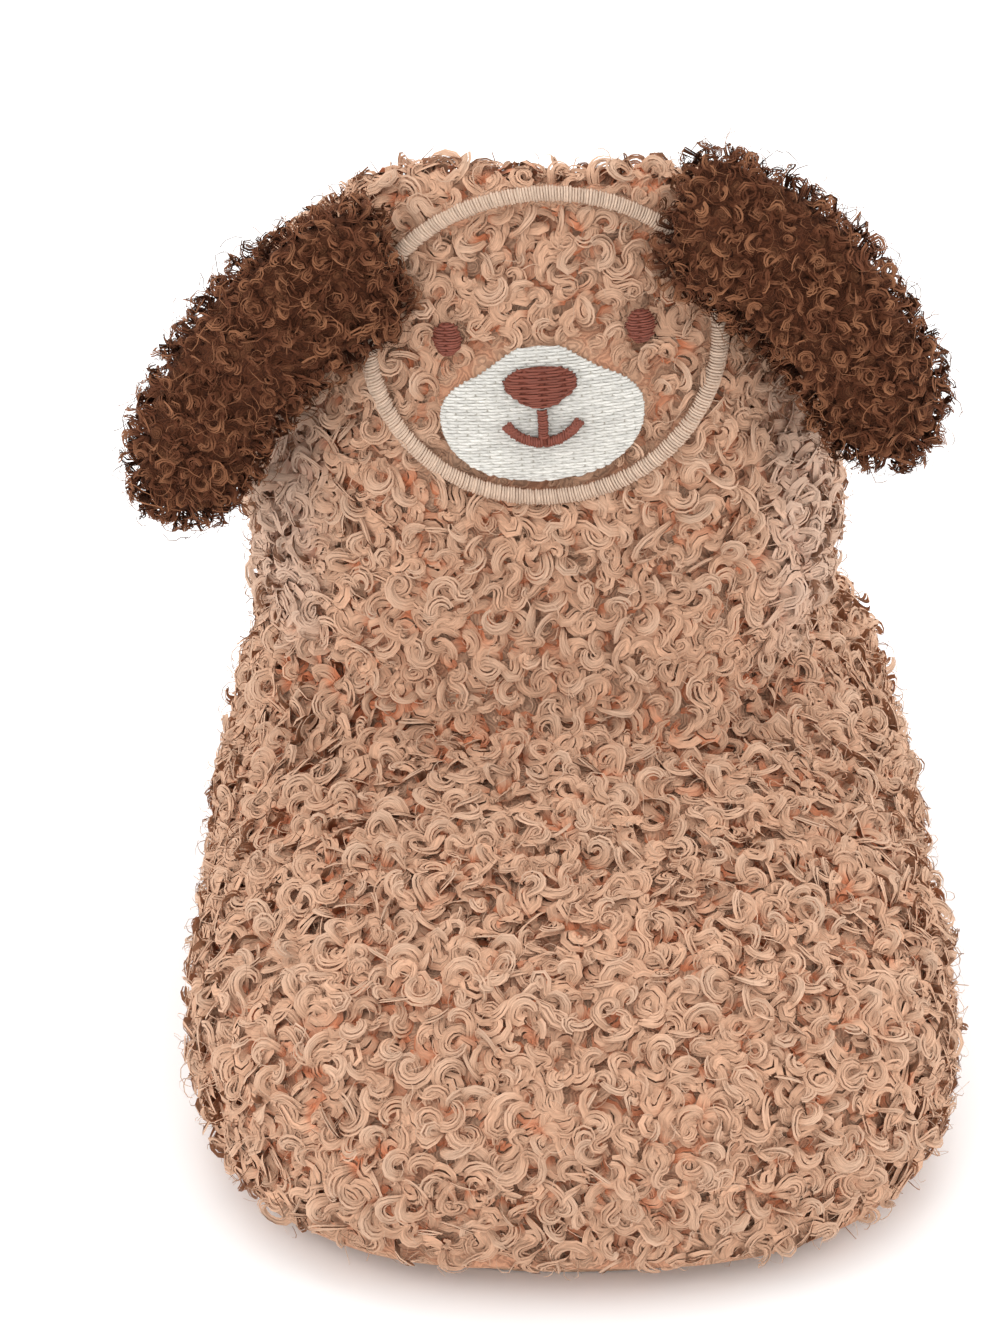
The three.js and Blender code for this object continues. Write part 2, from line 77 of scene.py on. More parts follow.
def mixed(tree, share, first, second, way="MIX"):
    """The output of a colour Mix node."""
    made = add(tree, "Mix", {0: share, 6: first, 7: second}, data_type="RGBA", blend_type=way)
    return made.outputs[2]


def ramped(tree, value, low, high, to_low=0.0, to_high=1.0):
    """A value eased from one range to another."""
    takes = {"Value": value, "From Min": low, "From Max": high, "To Min": to_low, "To Max": to_high}
    return add(tree, "MapRange", takes, interpolation_type="SMOOTHSTEP").outputs["Result"]


def effect(name, takes, gives):
    """An empty node group with named inputs and outputs: the tree, its input node and its output node."""
    tree = bpy.data.node_groups.new(name, "ShaderNodeTree")
    for label, kind, value in takes:
        socket = tree.interface.new_socket(label, in_out="INPUT", socket_type="NodeSocket" + kind)
        if value is not None:
            socket.default_value = value
    for label, kind in gives:
        tree.interface.new_socket(label, in_out="OUTPUT", socket_type="NodeSocket" + kind)
    return tree, tree.nodes.new("NodeGroupInput"), tree.nodes.new("NodeGroupOutput")


def place_effect(tree, group, takes):
    """An effect placed in a material, with that material's own values."""
    made = tree.nodes.new("ShaderNodeGroup")
    made.node_tree = group
    for name, value in takes.items():
        if isinstance(value, bpy.types.NodeSocket):
            tree.links.new(value, made.inputs[name])
        else:
            made.inputs[name].default_value = value
    return made


def textile(name, roughness, sheen, sheen_tint):
    """A material with one Principled shader, set up as cloth: its tree and that shader."""
    material = bpy.data.materials.new(name)
    material.use_nodes = True
    shader = material.node_tree.nodes["Principled BSDF"]
    shader.inputs["Roughness"].default_value = roughness
    shader.inputs["Specular IOR Level"].default_value = 0.25
    shader.inputs["Sheen Weight"].default_value = sheen
    shader.inputs["Sheen Roughness"].default_value = 0.45
    shader.inputs["Sheen Tint"].default_value = sheen_tint
    return material, shader


def dress(piece, material):
    """A piece's only material."""
    piece.data.materials.clear()
    piece.data.materials.append(material)


weave, given, result = effect(
    "Woven Cloth",
    [("Place", "Vector", None), ("Thread", "Float", 0.4)],
    [("Height", "Float"), ("Shade", "Float")],
)
spread = add(weave, "VectorMath", {0: given.outputs["Place"], "Scale": 1 / mm}, operation="SCALE")
loose = add(weave, "TexNoise", {"Vector": spread.outputs[0], "Scale": 0.35, "Detail": 3.0})
axes = add(weave, "SeparateXYZ", {0: spread.outputs[0]})
turns = sums(weave, "DIVIDE", math.pi, given.outputs["Thread"])
warp = sums(weave, "SINE", sums(weave, "MULTIPLY", axes.outputs["X"], turns))
weft = sums(weave, "SINE", sums(weave, "MULTIPLY", axes.outputs["Y"], turns))
crossing = sums(weave, "MULTIPLY_ADD", sums(weave, "MULTIPLY", warp, weft), 0.35, 0.5)
nap = add(weave, "TexNoise", {"Vector": spread.outputs[0], "Scale": 2.2, "Detail": 6.0, "Roughness": 0.7})
height = sums(weave, "MULTIPLY_ADD", nap.outputs["Fac"], 0.5, crossing)
weave.links.new(height, result.inputs["Height"])
weave.links.new(ramped(weave, loose.outputs["Fac"], 0.3, 0.7), result.inputs["Shade"])


def woven(name, light, dark, thread, depth):
    """A brushed woven cloth in two shades of one colour: the darker one is painted shade in the weave's
    hollows.
    """
    material, shader = textile(name, roughness=0.92, sheen=0.35, sheen_tint=light)
    tree = material.node_tree
    place = add(tree, "TexCoord").outputs["Object"]
    cloth = place_effect(tree, weave, {"Place": place, "Thread": thread})
    # Painted shade: the cloth is darker where its relief is low, in the hollows between threads, and paler
    # on the raised threads.
    paler = ramped(tree, cloth.outputs["Height"], 0.2, 1.0)
    colour = mixed(tree, paler, dark, light)
    colour = mixed(tree, sums(tree, "MULTIPLY", cloth.outputs["Shade"], 0.25), colour, dark)
    bump = add(tree, "Bump", {"Height": cloth.outputs["Height"], "Distance": depth * mm, "Strength": 0.8})
    tree.links.new(colour, shader.inputs["Base Color"])
    tree.links.new(bump.outputs["Normal"], shader.inputs["Normal"])
    return material


sole_cloth = woven("sole cloth", paint(196, 160, 132), paint(142, 104, 80), thread=0.7, depth=0.18)
dress(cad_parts["outsole"], sole_cloth)

# Insole: a soft pad cut a little smaller than the sole and laid loose inside it, faced with short pale
# plush. It is the CAD solid with its plush on it.

insole_plush = woven("insole plush", paint(233, 214, 190), paint(190, 162, 134), thread=0.55, depth=0.22)
dress(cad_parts["insole"], insole_plush)

# Upper, its cloth: a knitted backing that the pile stands on, and a plush lining inside it. Both follow the
# CAD upper with its coarse locks combed away, drawn in at the folds and brought up to the embroidery.

skin_grid = 1.6
skin_passes = 11
pile_root = 1.7
rim_reach = 4.5
rim_lowest = 60
far_from_rim = 99.0
rim_drop_lost = 0.9
drop_under_stitches = 0.2
hem_turns_down = (0.2, 0.7)
pile_softness = 1.6
shaft_foot = (-11, 34)
shaft_middle = (-2.5, 22)
foot_middle = (40, 18)

folds = {
    "the fold across the ankle": {
        "through": [(-30, 8, 39), (-25, -6, 39), (-14, -11, 38), (0, -12, 38), (16, -13, 38), (28, 6, 39)],
        "width": 2.8,
        "depth": 2.3,
    },
    "the deep dimple right of the ankle fold": {
        "through": [(9, -15, 38), (14, -14.5, 38), (19, -13, 37.5)],
        "width": 1.7,
        "depth": 2.6,
    },
    "the dimple at its left end": {
        "through": [(-28, 0, 41), (-24, -7, 42)],
        "width": 1.9,
        "depth": 2.2,
    },
    "a soft fold over the toes": {
        "through": [(-14, -40, 36), (-4, -46, 32), (6, -47, 31), (14, -42, 34)],
        "width": 2.4,
        "depth": 1.2,
    },
    "a slack fold on the left of the foot": {
        "through": [(-34, -2, 28), (-31, -16, 33), (-24, -24, 37)],
        "width": 2.4,
        "depth": 0.8,
    },
    "a slack fold on the right of the foot": {
        "through": [(34, 0, 28), (32, -12, 32), (24, -20, 37)],
        "width": 2.4,
        "depth": 0.8,
    },
}


def unit(vectors):
    """The vectors at length 1."""
    return vectors / np.maximum(np.linalg.norm(vectors, axis=-1, keepdims=True), 1e-9)


def eased(low, high, values):
    """How far the values are from low to high, eased from 0 to 1."""
    share = np.clip((values - low) / (high - low), 0, 1)
    return share * share * (3 - 2 * share)


def fold_depth(points):
    """How far the folds draw each point in."""
    depth = np.zeros(len(points))
    for fold in folds.values():
        line = np.array(fold["through"], float)
        nearest = np.full(len(points), 1e9)
        for start, end in zip(line[:-1], line[1:]):
            share = np.clip((points - start) @ (end - start) / ((end - start) @ (end - start)), 0, 1)
            foot = start + share[:, None] * (end - start)
            nearest = np.minimum(nearest, np.linalg.norm(points - foot, axis=1))
        depth += fold["depth"] * np.exp(-((nearest / fold["width"]) ** 2))
    return depth


def combed(node, grid, passes):
    """An evenly meshed copy of a CAD node with its coarse relief smoothed away: corners, normals, faces."""
    copy = node.copy()
    bpy.context.scene.collection.objects.link(copy)
    copy.hide_viewport = False
    even = copy.modifiers.new("even", "REMESH")
    even.mode = "VOXEL"
    even.voxel_size = grid * mm
    relax = copy.modifiers.new("relax", "SMOOTH")
    relax.iterations = passes
    mesh = bpy.data.meshes.new_from_object(copy.evaluated_get(bpy.context.evaluated_depsgraph_get()))
    bpy.data.objects.remove(copy)
    corners = np.empty(len(mesh.vertices) * 3)
    mesh.vertices.foreach_get("co", corners)
    normals = np.empty(len(mesh.vertices) * 3)
    mesh.vertex_normals.foreach_get("vector", normals)
    mesh.calc_loop_triangles()
    faces = np.empty(len(mesh.loop_triangles) * 3, int)
    mesh.loop_triangles.foreach_get("vertices", faces)
    return corners.reshape(-1, 3) / mm, normals.reshape(-1, 3), faces.reshape(-1, 3)


def sew(name, corners, faces, material, values=None, layers=None, outward=None):
    """A smooth mesh piece from corners in millimetres, riding on the root, with a value for each corner
    under each name in values, and a place on the flat for each face's corners in layers. Where outward is
    given, the corners' normals lean towards it, so that fine pile is shaded as one soft surface."""
    sides = faces.shape[1]
    mesh = bpy.data.meshes.new(name)
    mesh.vertices.add(len(corners))
    mesh.vertices.foreach_set("co", (corners * mm).ravel())
    mesh.loops.add(faces.size)
    mesh.loops.foreach_set("vertex_index", faces.ravel())
    mesh.polygons.add(len(faces))
    mesh.polygons.foreach_set("loop_start", np.arange(len(faces)) * sides)
    mesh.polygons.foreach_set("use_smooth", np.ones(len(faces), bool))
    for label, numbers in (values or {}).items():
        mesh.attributes.new(label, "FLOAT", "POINT").data.foreach_set("value", numbers)
    for label, places in (layers or {}).items():
        mesh.uv_layers.new(name=label).data.foreach_set("uv", places.ravel())
    mesh.update(calc_edges=True)
    mesh.validate()
    if outward is not None:
        normals = np.empty(len(corners) * 3)
        mesh.vertex_normals.foreach_get("vector", normals)
        normals = normals.reshape(-1, 3)
        side = np.sign(np.sum(normals * outward, axis=1, keepdims=True))
        mesh.normals_split_custom_set_from_vertices(unit(normals + pile_softness * side * outward))
    piece = bpy.data.objects.new(name, mesh)
    bpy.context.scene.collection.objects.link(piece)
    dress(piece, material)
    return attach(piece, "root")


def only(corners, faces, keep):
    """The corners and faces left when only the kept faces stay."""
    used, faces = np.unique(faces[keep], return_inverse=True)
    return corners[used], faces.reshape(-1, 3)


# The face's sizes and places are in mm, across and up from the ring's middle.
ring_low, ring_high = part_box("face_ring")
ring_thread = 1.6
face_turn = math.radians(3.5)
ring_width = 37.0
ring_tall = 31.2
face_centre = ((ring_low.x + ring_high.x) / 2 / mm, (ring_low.z + ring_high.z) / 2 / mm)
muzzle_size = (21.2, 13.8)
muzzle_centre = (-0.7, -6.8)
eye_width = 2.8
eye_trim = 0.4
eye_spacing = 20.2
eye_rise = 1.2
ring_sunk = 0.6
ring_sunk_from = 11
ring_sunk_to = 16
clear_round_ring = 0.5
clear_within_ring = 1.3
face_back = 12
face_lowest = 55
pile_forward = -0.4
cloth_forward = -0.3
behind_stitch = 0.3
at_stitch = 0.3
beside_stitch = 3.5
look_from = 5
look_far = 10


def on_face(points):
    """How far across and up from the ring's middle each point lies."""
    x, z = points[:, 0] - face_centre[0], points[:, 2] - face_centre[1]
    across = x * math.cos(face_turn) + z * math.sin(face_turn)
    return across, z * math.cos(face_turn) - x * math.sin(face_turn)


def face_clear(points, outward):
    """How far each point is from the embroidery's edge: 0 under it, and 1 well clear of it."""
    across, up = on_face(points)
    radius = np.hypot(2 * across / ring_width, 2 * up / ring_tall)
    sunk = ring_sunk * eased(ring_sunk_from, ring_sunk_to, np.abs(across))
    ring = np.abs(radius - 1) * (ring_width + ring_tall) / 4 - ring_thread / 2 * (1 - sunk)
    off_across = 2 * (across - muzzle_centre[0]) / muzzle_size[0]
    off_up = 2 * (up - muzzle_centre[1]) / muzzle_size[1]
    muzzle = (np.hypot(off_across, off_up) - 1) * muzzle_size[1] / 2
    eye = np.hypot(np.abs(across) - eye_spacing / 2, up - eye_rise) - eye_width / 2 + eye_trim
    nearest = np.minimum(np.minimum(ring, muzzle), eye)
    away = (points[:, 1] > face_back) | (outward[:, 1] > pile_forward)
    clear = np.where(radius > 1, clear_round_ring, clear_within_ring)
    return np.where(away, 1.0, np.clip(nearest / clear, 0, 1))


def front_of(node):
    """A node's faces in millimetres, to look for from the front."""
    corners = [corner.co / mm for corner in node.data.vertices]
    return BVHTree.FromPolygons(corners, [face.vertices for face in node.data.polygons])


def to_stitches(points, outward):
    """How far forward the cloth comes to lie just behind the embroidery, and ever less beside it."""
    seats, gaps = [], []
    in_face = (outward[:, 1] < cloth_forward) & (points[:, 2] > face_lowest) & (points[:, 1] < face_back)
    for name in ("face_ring", "muzzle", "eye_left", "eye_right"):
        stitches = front_of(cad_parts[name])
        for index in np.flatnonzero(in_face):
            behind = Vector(points[index]) + Vector((0, look_from, 0))
            hit = stitches.ray_cast(behind, (0, -1, 0), look_far)[0]
            if hit:
                seats.append(index)
                gaps.append(points[index][1] - hit.y - behind_stitch)
    near = KDTree(len(seats))
    for order, index in enumerate(seats):
        near.insert(points[index], order)
    near.balance()
    forward = np.zeros(len(points))
    for index in np.flatnonzero(in_face):
        _, order, far = near.find(points[index])
        forward[index] = gaps[order] * (1 - eased(at_stitch, beside_stitch, far))
    return forward


skin, skin_out, skin_faces = combed(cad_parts["upper"], skin_grid, skin_passes)
in_shaft = (skin[:, 1] > shaft_foot[0]) & (skin[:, 2] > shaft_foot[1])
along_foot = np.clip(skin[:, 1], -foot_middle[0], foot_middle[0])
middle = np.where(
    in_shaft[:, None],
    np.stack([np.full(len(skin), shaft_middle[0]), np.full(len(skin), shaft_middle[1]), skin[:, 2]], 1),
    np.stack([np.zeros(len(skin)), along_foot, np.full(len(skin), foot_middle[1])], 1),
)
faces_in = np.sum((middle - skin) * skin_out, axis=1) > 0
outer_tree = KDTree(int(np.sum(~faces_in)))
for index in np.flatnonzero(~faces_in):
    outer_tree.insert(skin[index], index)
outer_tree.balance()
past_rim = faces_in * far_from_rim
for index in np.flatnonzero(faces_in & (skin[:, 2] > rim_lowest)):
    past_rim[index] = outer_tree.find(skin[index])[2]
furry = past_rim < rim_reach
skin[:, 1] -= to_stitches(skin, skin_out)
folded = skin - skin_out * (fold_depth(skin) * ~faces_in)[:, None]

# Painted shade: the colour runs from Root where Depth is 0 to Tip where it is 1, so that whatever lies deep,
# where shade falls, is painted dark.
fleece, given, result = effect(
    "Fleece Shade",
    [
        ("Root", "Color", (0.2, 0.08, 0.04, 1.0)),
        ("Body", "Color", (0.5, 0.3, 0.2, 1.0)),
        ("Tip", "Color", (0.7, 0.5, 0.4, 1.0)),
        ("Depth", "Float", 0.5),
        ("Seed", "Float", 0.0),
        ("Strand", "Float", 0.5),
    ],
    [("Colour", "Color")],
)
low = ramped(fleece, given.outputs["Depth"], 0.0, 0.36)
high = ramped(fleece, given.outputs["Depth"], 0.45, 1.0, 0.0, 0.8)
colour = mixed(fleece, low, given.outputs["Root"], given.outputs["Body"])
colour = mixed(fleece, high, colour, given.outputs["Tip"])
streak = ramped(fleece, given.outputs["Strand"], 0.36, 0.64, 0.8, 1.12)
tone = sums(fleece, "MULTIPLY_ADD", given.outputs["Seed"], 0.2, 0.9)
bright = sums(fleece, "MULTIPLY", streak, tone)
grey = add(fleece, "CombineColor", {0: bright, 1: bright, 2: bright})
fleece.links.new(mixed(fleece, 1.0, colour, grey.outputs[0], "MULTIPLY"), result.inputs["Colour"])

undercoat, given, result = effect(
    "Undercoat Curls",
    [("Place", "Vector", None), ("Curl", "Float", 3.0), ("Fibre", "Float", 0.4)],
    [("Fibres", "Float"), ("Height", "Float")],
)
spread = add(undercoat, "VectorMath", {0: given.outputs["Place"], "Scale": 1 / mm}, operation="SCALE")
stir = add(undercoat, "TexNoise", {"Vector": spread.outputs[0], "Scale": 0.5, "Detail": 2.0})
stirred = add(
    undercoat,
    "VectorMath",
    {0: stir.outputs["Color"], 1: (1.6, 1.6, 1.6), 2: spread.outputs[0]},
    operation="MULTIPLY_ADD",
)
fine = sums(undercoat, "DIVIDE", 1.0, given.outputs["Curl"])
cells = add(undercoat, "TexVoronoi", {"Vector": stirred.outputs[0], "Scale": fine})
off = sums(undercoat, "MULTIPLY", cells.outputs["Distance"], given.outputs["Curl"])
ripples = sums(undercoat, "DIVIDE", sums(undercoat, "MULTIPLY", off, 6.28), given.outputs["Fibre"])
rings = sums(undercoat, "SINE", ripples)
frayed = {"Vector": spread.outputs[0], "Scale": 3.0, "Detail": 4.0, "Roughness": 0.7}
fray = add(undercoat, "TexNoise", frayed)
fibres = sums(undercoat, "MULTIPLY_ADD", rings, 0.22, fray.outputs["Fac"])
dome = ramped(undercoat, cells.outputs["Distance"], 0.15, 0.75, 1.0, 0.0)
undercoat.links.new(fibres, result.inputs["Fibres"])
undercoat.links.new(sums(undercoat, "MULTIPLY_ADD", fibres, 0.3, dome), result.inputs["Height"])


fibre_share = 0.14


def knitted(name, root, body, tip, curl):
    """The backing, hidden by short curly undercoat: fibres ringed round the middle of every small curl,
    painted darker, as shade, where the curls' relief is low.
    """
    material, shader = textile(name, roughness=0.95, sheen=0.3, sheen_tint=tip)
    tree = material.node_tree
    place = add(tree, "TexCoord").outputs["Object"]
    short = place_effect(tree, undercoat, {"Place": place, "Curl": curl, "Fibre": fibre_share * curl})
    # Painted shade: the low places of the undercoat's relief take the dark root colour.
    depth = ramped(tree, short.outputs["Height"], 0.1, 1.3, 0.22, 0.7)
    takes = {"Root": root, "Body": body, "Tip": tip, "Depth": depth, "Strand": short.outputs["Fibres"]}
    colour = place_effect(tree, fleece, takes).outputs["Colour"]
    bump = add(tree, "Bump", {"Height": short.outputs["Height"], "Distance": 0.5 * mm})
    tree.links.new(colour, shader.inputs["Base Color"])
    tree.links.new(bump.outputs["Normal"], shader.inputs["Normal"])
    return material


# tan_root is painted shade: the dark warm colour that stands in for the shade deep among the strands.
tan_root = paint(208, 126, 88)
tan_body = paint(202, 158, 129)
tan_tip = paint(202, 168, 143)
tan_knit = knitted("tan knit backing", tan_root, tan_body, tan_tip, curl=2.6)
cover = np.all(furry[skin_faces], axis=1)
drop = pile_root * (1 - rim_drop_lost * eased(0, rim_reach, past_rim))
drop *= drop_under_stitches + (1 - drop_under_stitches) * face_clear(skin, skin_out)
drop *= 1 - eased(*hem_turns_down, -skin_out[:, 2])
corners, faces = only(folded - skin_out * drop[:, None], skin_faces, cover)
backing = sew("upper_backing", corners, faces, tan_knit)
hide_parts("upper")

lining_tones = paint(196, 166, 138), paint(228, 208, 184), paint(240, 224, 204)
lining_plush = knitted("lining plush", *lining_tones, curl=1.3)
corners, faces = only(skin - skin_out * (drop * furry)[:, None], skin_faces, ~cover)
sew("upper_lining", corners, faces, lining_plush)

# Upper, its pile: curly faux lambswool. Each lock is a band of fine strands that leaves the backing and
# curls into a comma or a ring, with a few single strands round it. It lies lower beside the embroidery.

lock_spacing = 1.75
under_spacing = 2.2
stray_spacing = 2.2
hem_lowest = 0.15
seat_tries = 7


def scattered(corners, faces, normals, spacing, wanted, rng):
    """Points on a surface, none nearer to another than the spacing, where wanted is true, with normals."""
    sides = corners[faces]
    area = np.linalg.norm(np.cross(sides[:, 1] - sides[:, 0], sides[:, 2] - sides[:, 0]), axis=1) / 2
    tries = int(seat_tries * area.sum() / spacing**2)
    chosen = rng.choice(len(faces), tries, p=area / area.sum())
    shares = rng.dirichlet((1, 1, 1), tries)
    points = np.einsum("ij,ijk->ik", shares, sides[chosen])
    outward = unit(np.einsum("ij,ijk->ik", shares, normals[faces[chosen]]))
    keep = wanted(points, outward)
    points, outward = points[keep], outward[keep]
    near = KDTree(len(points))
    for index, point in enumerate(points):
        near.insert(point, index)
    near.balance()
    free = np.ones(len(points), bool)
    taken = []
    for index in range(len(points)):
        if free[index]:
            taken.append(index)
            for _, other, _ in near.find_range(points[index], spacing):
                free[other] = False
    return points[taken], outward[taken]


coil_evenness = (0.85, 1.5)
wave_swing = 0.7
stride_shortens = (1.15, 0.75)
root_share = 0.25
out_of_plane = 0.6


def curl_lines(seats, outward, reach, turns, lean, rise, sizes, rng):
    """The middle lines of curls, each from its root below the seat round into itself, or in a wave for
    some of them, and the direction that each curl's flat side faces."""
    count, steps = len(seats), sizes["steps"]
    across = unit(np.cross(outward, rng.normal(size=(count, 3))))
    up = np.cross(outward, across) * np.cos(lean)[:, None] + outward * np.sin(lean)[:, None]
    plane = np.cross(across, up)
    share = np.linspace(0, 1, steps)
    start = rng.uniform(0, 2 * math.pi, count)
    round_it = rng.choice((-2 * math.pi, 2 * math.pi), count) * turns
    coil = share ** rng.uniform(*coil_evenness, count)[:, None]
    wave = wave_swing * np.sin(math.pi * share) ** 2
    bend = np.where(rng.uniform(size=count)[:, None] < sizes["waves"], wave, coil)
    heading = start[:, None] + round_it[:, None] * bend
    stride = (2 * math.pi * reach * turns / (steps - 1))[:, None] * np.linspace(*stride_shortens, steps)
    flat = np.stack([np.cos(heading) * stride, np.sin(heading) * stride], -1).cumsum(axis=1)
    flat -= flat.mean(axis=1, keepdims=True)
    lines = across[:, None] * flat[..., :1] + up[:, None] * flat[..., 1:]
    root = rise[:, None] - (sizes["sink"] + rise[:, None]) * (1 - eased(0, root_share, share))
    lifted = rng.uniform(-out_of_plane, out_of_plane, count)[:, None] * share
    lines += seats[:, None] + outward[:, None] * root[..., None] + plane[:, None] * lifted[..., None]
    return lines, plane


def beside(lines, facing):
    """The two directions across each middle line: sideways, and the way that it faces."""
    along = unit(np.gradient(lines, axis=1))
    aside = unit(np.cross(along, facing))
    return aside, np.cross(aside, along)


def tubes(lines, radii, facing, sides):
    """Round strands along middle lines: corners, faces, and each face corner's place around and along."""
    count, steps = radii.shape
    aside, over = beside(lines, facing)
    turn = 2 * math.pi * np.arange(sides) / sides
    round_it = aside[:, :, None] * np.cos(turn)[:, None] + over[:, :, None] * np.sin(turn)[:, None]
    corners = lines[:, :, None] + radii[:, :, None, None] * round_it
    index = np.arange(count * steps * sides).reshape(count, steps, sides)
    turned = np.roll(index, -1, axis=2)
    faces = np.stack([index[:, :-1], index[:, 1:], turned[:, 1:], turned[:, :-1]], -1)
    row, column = np.mgrid[0 : steps - 1, 0:sides]
    around = np.stack([column, column, column + 1, column + 1], -1) / sides
    ahead = np.stack([row, row + 1, row + 1, row], -1) / (steps - 1)
    places = np.broadcast_to(np.stack([around, ahead], -1), (count, steps - 1, sides, 4, 2))
    return corners.reshape(-1, 3), faces.reshape(-1, 4), places.reshape(count, -1, 4, 2)


def ribbons(lines, widths, facing):
    """Flat single strands along middle lines, in the same form as tubes."""
    count, steps = widths.shape
    aside, _ = beside(lines, facing)
    corners = np.stack([lines - aside * widths[..., None], lines + aside * widths[..., None]], 2)
    index = np.arange(count * steps * 2).reshape(count, steps, 2)
    faces = np.stack([index[:, :-1, 0], index[:, :-1, 1], index[:, 1:, 1], index[:, 1:, 0]], -1)
    row = np.arange(steps - 1)
    edge = np.zeros(steps - 1)
    around = np.stack([edge, edge + 1, edge + 1, edge], -1)
    ahead = np.stack([row, row, row + 1, row + 1], -1) / (steps - 1)
    places = np.broadcast_to(np.stack([around, ahead], -1), (count, steps - 1, 4, 2))
    return corners.reshape(-1, 3), faces.reshape(-1, 4), places


cell_margin = 0.06


def bundle(name, parts, material):
    """One piece from several sets of strands. Each strand gets its own cell of the flat map."""
    corners, faces, flat, strand = [], [], [], []
    values = {label: [] for label in parts[0]["values"]}
    outward = np.concatenate([part["outward"] for part in parts])
    cells = sum(len(part["places"]) for part in parts)
    columns = math.ceil(math.sqrt(cells * 3))
    rows = math.ceil(cells / columns)
    first = done = 0
    for part in parts:
        count = len(part["places"])
        cell = np.arange(first, first + count)
        start = np.stack([cell % columns, cell // columns], -1)[:, None, None]
        inside = cell_margin + (1 - 2 * cell_margin) * part["places"]
        flat.append(((start + inside) / (columns, rows)).reshape(-1, 2))
        strand.append(part["places"].reshape(-1, 2))
        corners.append(part["corners"])
        faces.append(part["faces"] + done)
        for label in values:
            each = len(part["corners"]) // len(part["values"][label])
            values[label].append(np.repeat(part["values"][label], each))
        done += len(part["corners"])
        first += count
    corners = np.concatenate(corners)
    corners[:, 2] = np.maximum(corners[:, 2], hem_lowest)
    layers = {"OFBake": np.concatenate(flat), "Strand": np.concatenate(strand)}
    values = {label: np.concatenate(numbers) for label, numbers in values.items()}
    return sew(name, corners, np.concatenate(faces), material, values, layers, outward)


tuft_core = 0.75


def tufted(seats, spread, rng):
    """How near each seat is to the middle of its tuft, from 0 to 1, and the way there."""
    near = KDTree(len(seats))
    for index, seat in enumerate(seats):
        near.insert(seat, index)
    near.balance()
    closest = np.full(len(seats), spread)
    towards = np.zeros_like(seats)
    free = np.ones(len(seats), bool)
    for index in rng.permutation(len(seats)):
        if free[index]:
            for _, other, far in near.find_range(seats[index], spread):
                free[other] = free[other] and far > tuft_core * spread
                if far < closest[other]:
                    closest[other] = far
                    towards[other] = seats[index] - seats[other]
    return 1 - (closest / spread) ** 2, towards


def strand_part(shape, sides, depth, seed, pale, outward):
    """Strands with what their shader reads, as one part for bundle."""
    corners, faces, places = shape
    outward = np.repeat(outward, len(corners) // len(outward), axis=0)
    values = {"depth": np.repeat(depth.ravel(), sides), "seed": seed, "pale": pale}
    return {"corners": corners, "faces": faces, "places": places, "values": values, "outward": outward}


least_scale = 0.65
least_lean = 0.35
drawn_in = 0.25
# How far a fold's depth takes the pile's colour towards its dark root: painted shade in the folds.
fold_shade = 0.25
lean_drop = 0.55
stitch_drop = 0.7
tuft_level = 0.6
band_end = 0.3
band_arch = 0.4
strand_share = 0.12
strand_tilt = 0.8
strand_thins = 0.5
sway_turns = (0.4, 1.1)
sway_over = 0.8
sway_ratio = 1.3
root_loose = 0.4
lock_tone = 0.5
tip_height = 1.3


def locks(seats, outward, clear, pale, sizes, rng):
    """The pile's locks on these seats, as parts for bundle: fine strands side by side in a curled band."""
    count = len(seats)
    scale = least_scale + (1 - least_scale) * clear
    reach = rng.uniform(*sizes["reach"], count) * scale
    half = rng.uniform(*sizes["half"], count) * scale
    turns = rng.uniform(*sizes["turns"], count)
    lean = np.radians(rng.triangular(*sizes["lean"], count)) * (least_lean + (1 - least_lean) * clear)
    inner, towards = tufted(seats, sizes["tuft"], rng)
    # Painted shade in the folds: a fold's depth takes the pile's colour down towards its dark root.
    hollow = fold_shade * fold_depth(seats)
    seats = seats + drawn_in * towards
    rise = rng.uniform(*sizes["rise"], count) - lean_drop * reach * np.sin(lean)
    rise += sizes["crest"] * (inner - tuft_level) * clear - stitch_drop * (1 - clear)
    lines, plane = curl_lines(seats, outward, reach, turns, lean, rise, sizes, rng)
    aside, over = beside(lines, plane[:, None])
    share = np.linspace(0, 1, sizes["steps"])
    taper = band_end + (1 - band_end) * np.sin(math.pi * share**0.8) ** 0.6
    tone = rng.uniform(0, lock_tone, count)
    parts = []
    for place in np.linspace(-1, 1, sizes["strands"]):
        begins = rng.uniform(0, 2 * math.pi, (count, 1))
        sways = rng.uniform(*sway_turns, (count, 1))
        swing = begins + 2 * math.pi * sways * share
        loose = sizes["loose"] * (root_loose + share)
        shift = place * half[:, None] * taper + loose * np.sin(swing)
        drop = band_arch * half[:, None] * place**2 * taper + sway_over * loose * np.cos(sway_ratio * swing)
        path = lines + aside * shift[..., None] - over * drop[..., None]
        width = (rng.uniform(*sizes["thin"], count) + strand_share * half)[:, None]
        width = width * (1 - strand_thins * share**3)
        lift = np.einsum("ijk,ik->ij", path - seats[:, None], outward)
        # The pile's depth sets its colour from its dark root to its tip: painted shade deep in the pile and
        # in the folds.
        depth = np.clip((lift + sizes["sink"] - hollow[:, None]) / (sizes["sink"] + tip_height), 0, 1)
        seed = tone + rng.uniform(0, 1 - lock_tone, count)
        shape = ribbons(path, width, over + strand_tilt * place * aside)
        parts.append(strand_part(shape, 2, depth, seed, pale, outward))
    return parts


